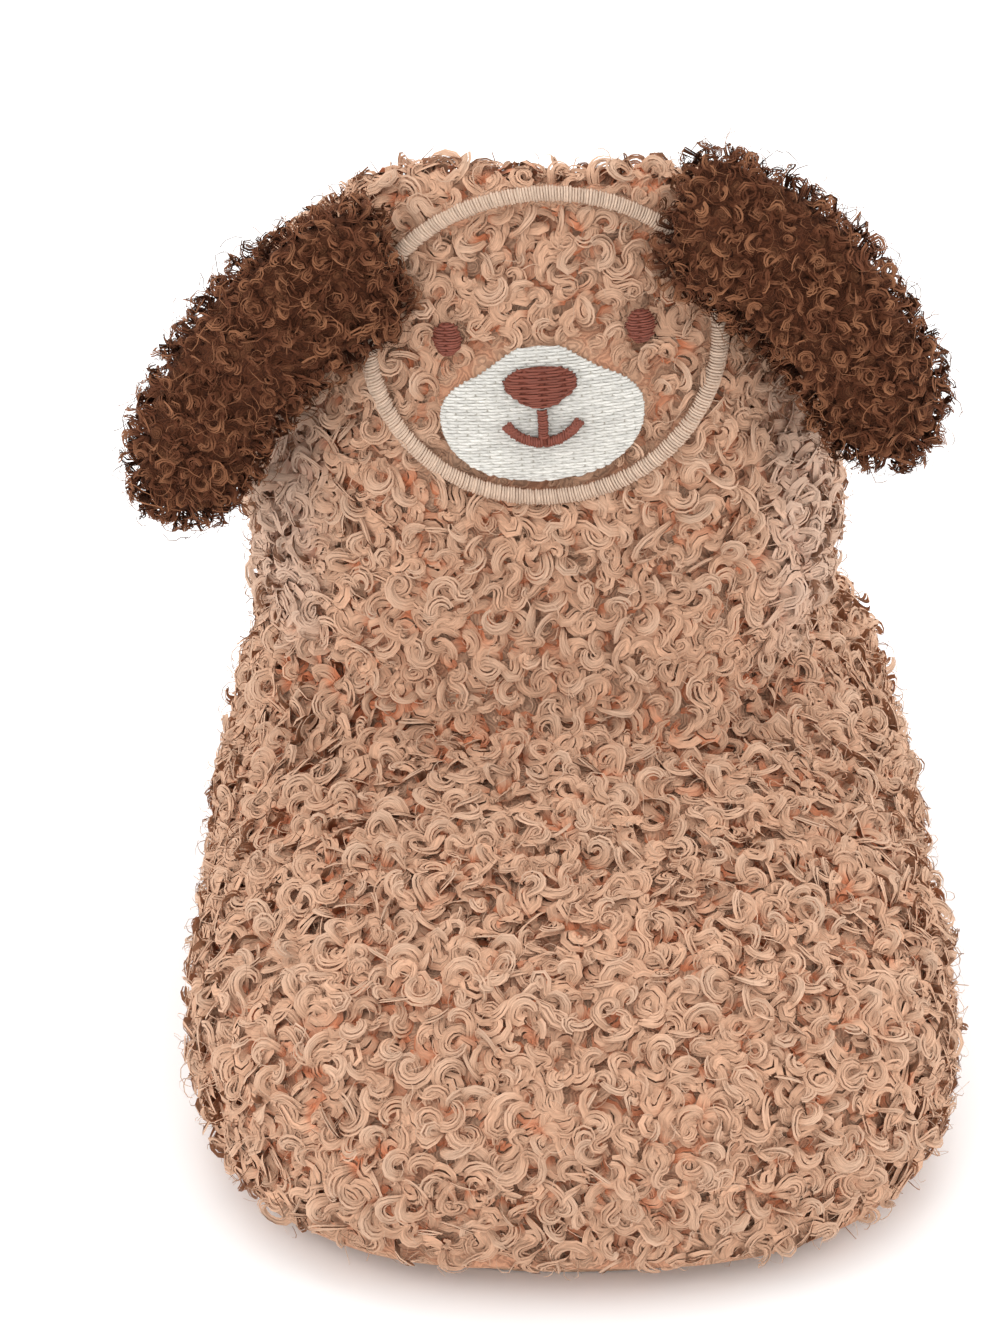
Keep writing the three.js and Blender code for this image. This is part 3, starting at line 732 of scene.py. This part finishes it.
seed_jump = 61.0
strand_twist = 1.6
strand_stretch = 1.4
twist, given, result = effect(
    "Curled Strands",
    [("Strand Map", "Vector", None), ("Seed", "Float", 0.0), ("Strands", "Float", 5.0)],
    [("Strand", "Float")],
)
axes = add(twist, "SeparateXYZ", {0: given.outputs["Strand Map"]})
shift = sums(twist, "MULTIPLY", given.outputs["Seed"], seed_jump)
across = sums(twist, "MULTIPLY_ADD", axes.outputs["X"], given.outputs["Strands"], shift)
spun = sums(twist, "MULTIPLY_ADD", axes.outputs["Y"], strand_twist, across)
along = sums(twist, "MULTIPLY", axes.outputs["Y"], strand_stretch)
place = add(twist, "CombineXYZ", {0: spun, 1: along, 2: shift})
fibres = add(twist, "TexNoise", {"Vector": place.outputs[0], "Scale": 2.6, "Detail": 4.0, "Roughness": 0.65})
twist.links.new(fibres.outputs["Fac"], result.inputs["Strand"])


streaks = 1.1
palest = 0.55


def curly(name, root, body, tip, paler, sheen):
    """Pile of one dyed colour, streaked along every strand: dark at its roots, which is painted shade deep
    in the pile, and lighter at its tips.
    """
    material, shader = textile(name, roughness=0.9, sheen=sheen, sheen_tint=tip)
    tree = material.node_tree
    seed = add(tree, "Attribute", attribute_name="seed").outputs["Fac"]
    depth = add(tree, "Attribute", attribute_name="depth").outputs["Fac"]
    pale = add(tree, "Attribute", attribute_name="pale").outputs["Fac"]
    flat = add(tree, "UVMap", uv_map="Strand").outputs["UV"]
    takes = {"Strand Map": flat, "Seed": seed, "Strands": streaks}
    strand = place_effect(tree, twist, takes).outputs["Strand"]
    takes = {"Root": root, "Body": body, "Tip": tip, "Depth": depth, "Seed": seed, "Strand": strand}
    colour = place_effect(tree, fleece, takes).outputs["Colour"]
    # Paler beside the front panel's seams, towards the pale colour.
    colour = mixed(tree, sums(tree, "MULTIPLY", pale, palest), colour, paler)
    bump = add(tree, "Bump", {"Height": strand, "Distance": 0.12 * mm, "Strength": 0.9})
    tree.links.new(colour, shader.inputs["Base Color"])
    tree.links.new(bump.outputs["Normal"], shader.inputs["Normal"])
    return material


# The paler colour that the pile takes beside the front panel's seams.
tan_pale = paint(214, 188, 170)
tan_pile = curly("tan lambswool pile", tan_root, tan_body, tan_tip, tan_pale, sheen=0.6)

# A lock's reach, half width, rise and sink are in mm and its lean is in degrees. Most are drawn between two
# ends, and the lean about its middle value.
tan_sizes = {
    "reach": (1.0, 1.8),
    "half": (0.48, 0.74),
    "turns": (0.5, 0.98),
    "waves": 0.2,
    "lean": (0, 26, 80),
    "rise": (-0.3, 0.4),
    "tuft": 2.9,
    "crest": 0.9,
    "sink": pile_root,
    "steps": 12,
    "strands": 7,
    "thin": (0.05, 0.08),
    "loose": 0.13,
}
rear_sizes = dict(tan_sizes, strands=3, thin=(0.16, 0.22))

bald_beside_stitch = 0.02
faces_floor = -0.6


def wants_lock(points, outward):
    """Where the cloth grows pile: not on the embroidery, nor where it faces the floor."""
    under = outward[:, 2] < faces_floor
    return (face_clear(points, outward) > bald_beside_stitch) & ~under


under_sizes = dict(
    tan_sizes,
    reach=(0.9, 1.6),
    half=(0.65, 0.85),
    turns=(0.5, 0.8),
    lean=(0, 12, 40),
    rise=(-1.2, -0.5),
    steps=8,
    strands=3,
    thin=(0.26, 0.36),
)
stray_sizes = dict(
    tan_sizes,
    reach=(0.9, 1.7),
    half=(0, 0),
    lean=(20, 60, 90),
    rise=(0.3, 1.1),
    steps=10,
    strands=1,
    thin=(0.035, 0.06),
)
dice = np.random.default_rng(7)
under_seats, under_out = scattered(folded, skin_faces[cover], skin_out, under_spacing, wants_lock, dice)
seats, outward = scattered(folded, skin_faces[cover], skin_out, lock_spacing, wants_lock, dice)
stray_seats, stray_out = scattered(folded, skin_faces[cover], skin_out, stray_spacing, wants_lock, dice)

panel_edge = (22, 27)
panel_rise = (38, 48)
panel_back = (10, 24)
pale_least = 0.6


def paler_beside_panel(points):
    """How pale the pile is: paler beside the front panel's seams, each point by a random share."""
    aside = eased(*panel_edge, np.abs(points[:, 0] - face_centre[0]))
    beside_panel = aside * eased(*panel_rise, points[:, 2]) * (1 - eased(*panel_back, points[:, 1]))
    return beside_panel * (pale_least + (1 - pale_least) * dice.uniform(size=len(points)))


shaft_from = 40
shaft_front = -14
shaft_halfway = 16
toe_from = -38
heel_from = 34


def region(points):
    """Which piece of the pile each point is in."""
    x, y, z = points.T
    return np.select(
        [
            (z > shaft_from) & (y < shaft_halfway) & (y > shaft_front),
            (z > shaft_from) & (y >= shaft_halfway),
            y < toe_from,
            y > heel_from,
            x < 0,
        ],
        [0, 1, 2, 3, 4],
        5,
    )


for number, where in enumerate(("front", "back", "toe", "heel", "left", "right")):
    parts = []
    layers = [
        (seats, outward, rear_sizes if where in ("back", "heel") else tan_sizes),
        (under_seats, under_out, under_sizes),
        (stray_seats, stray_out, stray_sizes),
    ]
    for points, out, sizes in layers:
        here = region(points) == number
        at, off = points[here], out[here]
        parts += locks(at, off, face_clear(at, off), paler_beside_panel(at), sizes, dice)
    bundle("pile_" + where, parts, tan_pile)

# Ears: two soft flaps of brown lambswool, lightly filled and sewn on at the top of the shaft, so that they
# flop outwards. Under the pile each is a padded cushion, and its pile is finer and denser.

# brown_root is painted shade: the near-black brown that stands in for the shade deep in the ears' pile.
brown_root = paint(48, 20, 9)
brown_body = paint(97, 54, 33)
brown_tip = paint(154, 104, 72)
brown_pile = curly("brown lambswool pile", brown_root, brown_body, brown_tip, brown_tip, sheen=0.2)
brown_knit = knitted("brown knit backing", brown_root, brown_body, brown_tip, curl=2.0)
ear_grid = 0.9
ear_passes = 8
ear_pile_root = 1.4
ear_lock_spacing = 1.1
ear_stray_spacing = 1.5
ear_sizes = {
    "reach": (0.5, 1.0),
    "half": (0.25, 0.42),
    "turns": (0.5, 1.1),
    "waves": 0.3,
    "lean": (5, 35, 85),
    "rise": (-0.3, 0.4),
    "tuft": 2.4,
    "crest": 1.5,
    "sink": 1.5,
    "steps": 9,
    "strands": 5,
    "thin": (0.04, 0.06),
    "loose": 0.14,
}
ear_stray_sizes = dict(
    ear_sizes,
    reach=(0.8, 1.8),
    half=(0, 0),
    rise=(0.4, 1.4),
    strands=1,
    thin=(0.03, 0.05),
)
plump_most = 0.6
filling_pressure = 4.0
filling_frames = 20


def plumped(piece, most):
    """The filling: the cloth is blown up with gravity off, and no point moves further than most."""
    before = np.empty(len(piece.data.vertices) * 3)
    piece.data.vertices.foreach_get("co", before)
    cloth = piece.modifiers.new("filling", "CLOTH")
    cloth.settings.use_pressure = True
    cloth.settings.uniform_pressure_force = filling_pressure
    cloth.settings.effector_weights.gravity = 0.0
    cloth.point_cache.frame_start = 1
    cloth.point_cache.frame_end = filling_frames
    for moment in range(1, filling_frames + 1):
        bpy.context.scene.frame_set(moment)
    blown = piece.evaluated_get(bpy.context.evaluated_depsgraph_get()).data
    after = np.empty(len(before))
    blown.vertices.foreach_get("co", after)
    piece.modifiers.remove(cloth)
    bpy.context.scene.frame_set(1)
    moved = (after - before).reshape(-1, 3)
    length = np.linalg.norm(moved, axis=1, keepdims=True)
    moved *= np.minimum(1, most * mm / np.maximum(length, 1e-9))
    piece.data.vertices.foreach_set("co", before + moved.ravel())
    piece.data.update()


def everywhere(points, outward):
    """Pile all over, as the ears have it."""
    return np.ones(len(points), bool)


for side in ("left", "right"):
    ear, ear_out, ear_faces = combed(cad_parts["ear_" + side], ear_grid, ear_passes)
    pad = sew(f"ear_{side}_pad", ear - ear_out * ear_pile_root, ear_faces, brown_knit)
    plumped(pad, plump_most)
    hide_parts("ear_" + side)
    parts = []
    for spacing, sizes in ((ear_lock_spacing, ear_sizes), (ear_stray_spacing, ear_stray_sizes)):
        seats, outward = scattered(ear, ear_faces, ear_out, spacing, everywhere, dice)
        plain = np.zeros(len(seats))
        parts += locks(seats, outward, plain + 1, plain, sizes, dice)
    bundle(f"ear_{side}_pile", parts, brown_pile)

# Face: embroidered through the front panel with glossy thread. A satin ring goes round it, the muzzle is
# filled with rows of stitches, and the nose, the mouth and the two eyes are short satin stitches.

needle_step = 0.1
thread_steps = 6
thread_sides = 5
thread_softness = 0.1
in_front = -90
hole_wanders = 0.1
end_clear = 0.4
margin = 0.5


def in_room(across, up):
    """Where a place on the face lies: its x and z."""
    x = face_centre[0] + across * math.cos(face_turn) - up * math.sin(face_turn)
    return x, face_centre[1] + across * math.sin(face_turn) + up * math.cos(face_turn)


def found(tree, across, up):
    """How far back a piece's front is at places on the face, and not a number beside it."""
    hits = [tree.ray_cast((x, in_front, z), (0, 1, 0))[0] for x, z in zip(*in_room(across, up))]
    return np.array([hit.y if hit else np.nan for hit in hits])


def rows_of_stitches(node, slope, pitch, longest, ragged, rng):
    """Threads in rows over a piece, each row cut into stitches whose holes are set off from the next's."""
    tree = front_of(node)
    corners = np.array([corner.co[:] for corner in node.data.vertices]) / mm
    across, up = on_face(corners)
    middle = ((across.min() + across.max()) / 2, (up.min() + up.max()) / 2)
    reach = max(np.ptp(across), np.ptp(up)) / 2 + margin
    ahead = np.arange(-reach, reach, needle_step)
    along = (math.cos(slope), math.sin(slope))
    lines = []
    for number, side in enumerate(np.arange(-reach, reach, pitch)):
        row_across = middle[0] + ahead * along[0] - side * along[1]
        row_up = middle[1] + ahead * along[1] + side * along[0]
        back = found(tree, row_across, row_up)
        laid = ~np.isnan(back)
        runs = np.flatnonzero(np.diff(np.concatenate([[False], laid, [False]]).astype(int)))
        for first, last in runs.reshape(-1, 2):
            begin = ahead[first] - ragged * rng.uniform()
            end = ahead[last - 1] + ragged * rng.uniform()
            holes = np.arange(-reach + longest * (number % 2) / 2, reach, longest)
            holes = holes + rng.uniform(-hole_wanders, hole_wanders, len(holes))
            holes = holes[(holes > begin + end_clear) & (holes < end - end_clear)]
            marks = [begin, *holes, end]
            for start, stop in zip(marks[:-1], marks[1:]):
                at = np.linspace(start, stop, thread_steps)
                y = np.interp(at, ahead[first:last], back[first:last])
                at_across = middle[0] + at * along[0] - side * along[1]
                x, z = in_room(at_across, middle[1] + at * along[1] + side * along[0])
                lines.append(np.stack([x, y, z], -1))
    return np.array(lines)


thread_dives = 0.22
thread_pinch = 0.8
thread_varies = (0.85, 1.12)
row_wanders = 0.03


def embroider(name, lines, thickness, crown, sink, material, slot, rng):
    """A piece of stitches along lines on the cloth's front, each rising to its crown between two holes."""
    share = np.linspace(0, 1, lines.shape[1])
    above = eased(0, thread_dives, share) * eased(0, thread_dives, 1 - share)
    lines = lines.copy()
    lines[..., 1] -= crown * above - sink * (1 - above)
    lines[..., 2] += rng.uniform(-row_wanders, row_wanders, (len(lines), 1))
    facing = np.array((0.0, -1.0, 0.0))
    radii = thickness * (thread_pinch + (1 - thread_pinch) * above)
    radii = radii * rng.uniform(*thread_varies, (len(lines), 1))
    # Painted shade: a stitch's depth is low at its two holes, where the thread takes its dark colour.
    depth = np.broadcast_to(above, radii.shape)
    plain = np.zeros(len(lines))
    shape = tubes(lines, radii, facing, thread_sides)
    seed = rng.uniform(0, 1, len(lines))
    forward = np.tile(facing, (len(lines), 1))
    part = strand_part(shape, thread_sides, depth, seed, plain, forward * thread_softness)
    return bundle(name, [part], material)


thread_plies = 4.0


def thread(name, shade, light):
    """Glossy thread: painted darker where it goes into the cloth, as the shade at its holes, with its plies
    showing along it.
    """
    material, shader = textile(name, roughness=0.38, sheen=0.1, sheen_tint=light)
    tree = material.node_tree
    seed = add(tree, "Attribute", attribute_name="seed").outputs["Fac"]
    depth = add(tree, "Attribute", attribute_name="depth").outputs["Fac"]
    flat = add(tree, "UVMap", uv_map="Strand").outputs["UV"]
    takes = {"Strand Map": flat, "Seed": seed, "Strands": thread_plies}
    plies = place_effect(tree, twist, takes).outputs["Strand"]
    takes = {"Root": shade, "Body": light, "Tip": light, "Depth": depth, "Seed": seed, "Strand": plies}
    colour = place_effect(tree, fleece, takes).outputs["Colour"]
    bump = add(tree, "Bump", {"Height": plies, "Distance": 0.05 * mm})
    tree.links.new(colour, shader.inputs["Base Color"])
    tree.links.new(bump.outputs["Normal"], shader.inputs["Normal"])
    return material


# Each thread's second colour is painted shade, for where it goes into the cloth and for the hollows of the
# woven ground under it.
taupe, taupe_shade = paint(202, 176, 155), paint(150, 114, 92)
white, white_shade = paint(213, 210, 203), paint(150, 143, 132)
red_brown, red_brown_shade = paint(124, 68, 54), paint(70, 32, 24)
taupe_thread = thread("taupe thread", taupe_shade, taupe)
white_thread = thread("white thread", white_shade, white)
brown_thread = thread("red-brown thread", red_brown_shade, red_brown)
ground_thread = 0.3
ground_depth = 0.05
taupe_ground = woven("taupe ground", taupe, taupe_shade, ground_thread, ground_depth)
white_ground = woven("white ground", white, white_shade, ground_thread, ground_depth)
brown_ground = woven("red-brown ground", red_brown, red_brown_shade, ground_thread, ground_depth)
dress(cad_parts["face_ring"], taupe_ground)
dress(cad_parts["muzzle"], white_ground)
for name in ("nose", "mouth", "eye_left", "eye_right"):
    dress(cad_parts[name], brown_ground)

across_mouth = 1.6
satin_pitch = 0.3
satin_half = 0.86
satin_slant = 0.1
satin_varies = (0.9, 1.12)
satin_wanders = 0.04
satin_round = 0.9
round_steps = 3000
turn = np.linspace(0, 2 * math.pi, round_steps)
way_round = np.stack([np.cos(turn) * ring_width, np.sin(turn) * ring_tall], -1) / 2
walked = np.concatenate([[0], np.linalg.norm(np.diff(way_round, axis=0), axis=1).cumsum()])
turn = np.interp(np.arange(0, walked[-1], satin_pitch), walked, turn)
middle_across, middle_up = np.cos(turn) * ring_width / 2, np.sin(turn) * ring_tall / 2
out_across, out_up = unit(np.stack([np.cos(turn) / ring_width, np.sin(turn) / ring_tall], -1)).T
back = found(front_of(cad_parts["face_ring"]), middle_across, middle_up)
offsets = np.linspace(-1, 1, thread_steps) * satin_half * dice.uniform(*satin_varies, (len(turn), 1))
slant = np.linspace(-satin_slant, satin_slant, thread_steps)
slant = slant + dice.uniform(-satin_wanders, satin_wanders, (len(turn), 1))
x, z = in_room(
    middle_across[:, None] + out_across[:, None] * offsets - out_up[:, None] * slant,
    middle_up[:, None] + out_up[:, None] * offsets + out_across[:, None] * slant,
)
rounded = ring_thread / 2 * (1 - np.sqrt(1 - satin_round * np.linspace(-1, 1, thread_steps) ** 2))
satin = np.stack([x, back[:, None] + rounded, z], -1)[~np.isnan(back)]
taupe_work = dict(material=taupe_thread, slot="taupe_thread", rng=dice)
embroider("ring_stitches", satin, thickness=0.15, crown=0.1, sink=0.0, **taupe_work)

rows = rows_of_stitches(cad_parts["muzzle"], slope=0.0, pitch=0.31, longest=2.2, ragged=0.1, rng=dice)
white_work = dict(material=white_thread, slot="white_thread", rng=dice)
embroider("muzzle_stitches", rows, thickness=0.19, crown=0.05, sink=0.2, **white_work)

brown_work = dict(material=brown_thread, slot="brown_thread", rng=dice)
rows = rows_of_stitches(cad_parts["nose"], slope=0.0, pitch=0.27, longest=4.6, ragged=0.25, rng=dice)
embroider("nose_stitches", rows, thickness=0.16, crown=0.12, sink=0.3, **brown_work)

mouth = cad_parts["mouth"]
level_rows = rows_of_stitches(mouth, slope=0.0, pitch=0.26, longest=9.0, ragged=0.12, rng=dice)
upright_rows = rows_of_stitches(mouth, slope=math.pi / 2, pitch=0.26, longest=9.0, ragged=0.12, rng=dice)
rows = np.concatenate([level_rows, upright_rows])
rows = rows[np.linalg.norm(rows[:, -1] - rows[:, 0], axis=1) < across_mouth]
embroider("mouth_stitches", rows, thickness=0.16, crown=0.12, sink=0.25, **brown_work)

for side in ("left", "right"):
    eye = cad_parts["eye_" + side]
    rows = rows_of_stitches(eye, slope=0.0, pitch=0.26, longest=4.0, ragged=0.3, rng=dice)
    embroider(f"eye_{side}_stitches", rows, thickness=0.15, crown=0.12, sink=0.3, **brown_work)

# The room: a plain pale floor in even white light, with a soft box overhead, in front and at each side, and
# the camera where the photograph's stood, almost straight ahead of the toe and well above it.

floor_reach = 3
floor_gap = 0.0002
floor_mesh = bpy.data.meshes.new("floor")
corner_signs = ((-1, -1), (1, -1), (1, 1), (-1, 1))
floor_corners = [(x * floor_reach, y * floor_reach, -floor_gap) for x, y in corner_signs]
floor_mesh.from_pydata(floor_corners, [], [(0, 1, 2, 3)])
floor = bpy.data.objects.new("floor", floor_mesh)
bpy.context.scene.collection.objects.link(floor)
floor_white, shader = textile("floor white", roughness=0.9, sheen=0.0, sheen_tint=paint(255, 255, 255))
shader.inputs["Base Color"].default_value = paint(250, 250, 250)
floor.data.materials.append(floor_white)

world = bpy.data.worlds.new("studio")
world.use_nodes = True
even_light = world.node_tree.nodes["Background"]
even_light.inputs["Color"].default_value = paint(255, 255, 255)
even_light.inputs["Strength"].default_value = 1.15
bpy.context.scene.world = world
bpy.context.scene.view_settings.view_transform = "Standard"

lamp_wide = 1.0
lamp_aim = Vector((0, 0, 0.04))


def soft_box(name, place, power):
    """A round soft lamp that faces the slipper."""
    lamp = bpy.data.lights.new(name, "AREA")
    lamp.shape = "DISK"
    lamp.size = lamp_wide
    lamp.energy = power
    stand = bpy.data.objects.new(name, lamp)
    stand.location = place
    stand.rotation_euler = (lamp_aim - Vector(place)).to_track_quat("-Z", "Y").to_euler()
    bpy.context.scene.collection.objects.link(stand)


soft_box("overhead softbox", (0.0, 0.35, 1.1), power=4.2)
soft_box("front softbox", (-0.3, -1.0, 0.6), power=2.1)
soft_box("left softbox", (-1.0, -0.2, 0.4), power=3.2)
soft_box("right softbox", (1.0, -0.2, 0.4), power=3.6)

azimuth = math.radians(1.0)
elevation = math.radians(27.0)
distance = 0.75
aim = Vector((0.0, 0.0, 0.045))
picture_wide = 1000
picture_high = 1333
focal_pixels = 6982
aim_pixel = (568, 625.5)
level = math.cos(elevation)
sight = Vector((math.sin(azimuth) * level, math.cos(azimuth) * level, -math.sin(elevation)))
lens = bpy.data.cameras.new("camera")
lens.sensor_fit = "HORIZONTAL"
lens.sensor_width = 36.0
lens.lens = focal_pixels / picture_wide * lens.sensor_width
camera = bpy.data.objects.new("camera", lens)
bpy.context.scene.collection.objects.link(camera)
look = Matrix.Translation(aim - sight * distance) @ sight.to_track_quat("-Z", "Y").to_matrix().to_4x4()
yaw = math.atan((aim_pixel[0] - picture_wide / 2) / focal_pixels)
pitch = math.atan((picture_high / 2 - aim_pixel[1]) / focal_pixels)
camera.matrix_world = look @ Matrix.Rotation(yaw, 4, "Y") @ Matrix.Rotation(-pitch, 4, "X")
bpy.context.scene.camera = camera
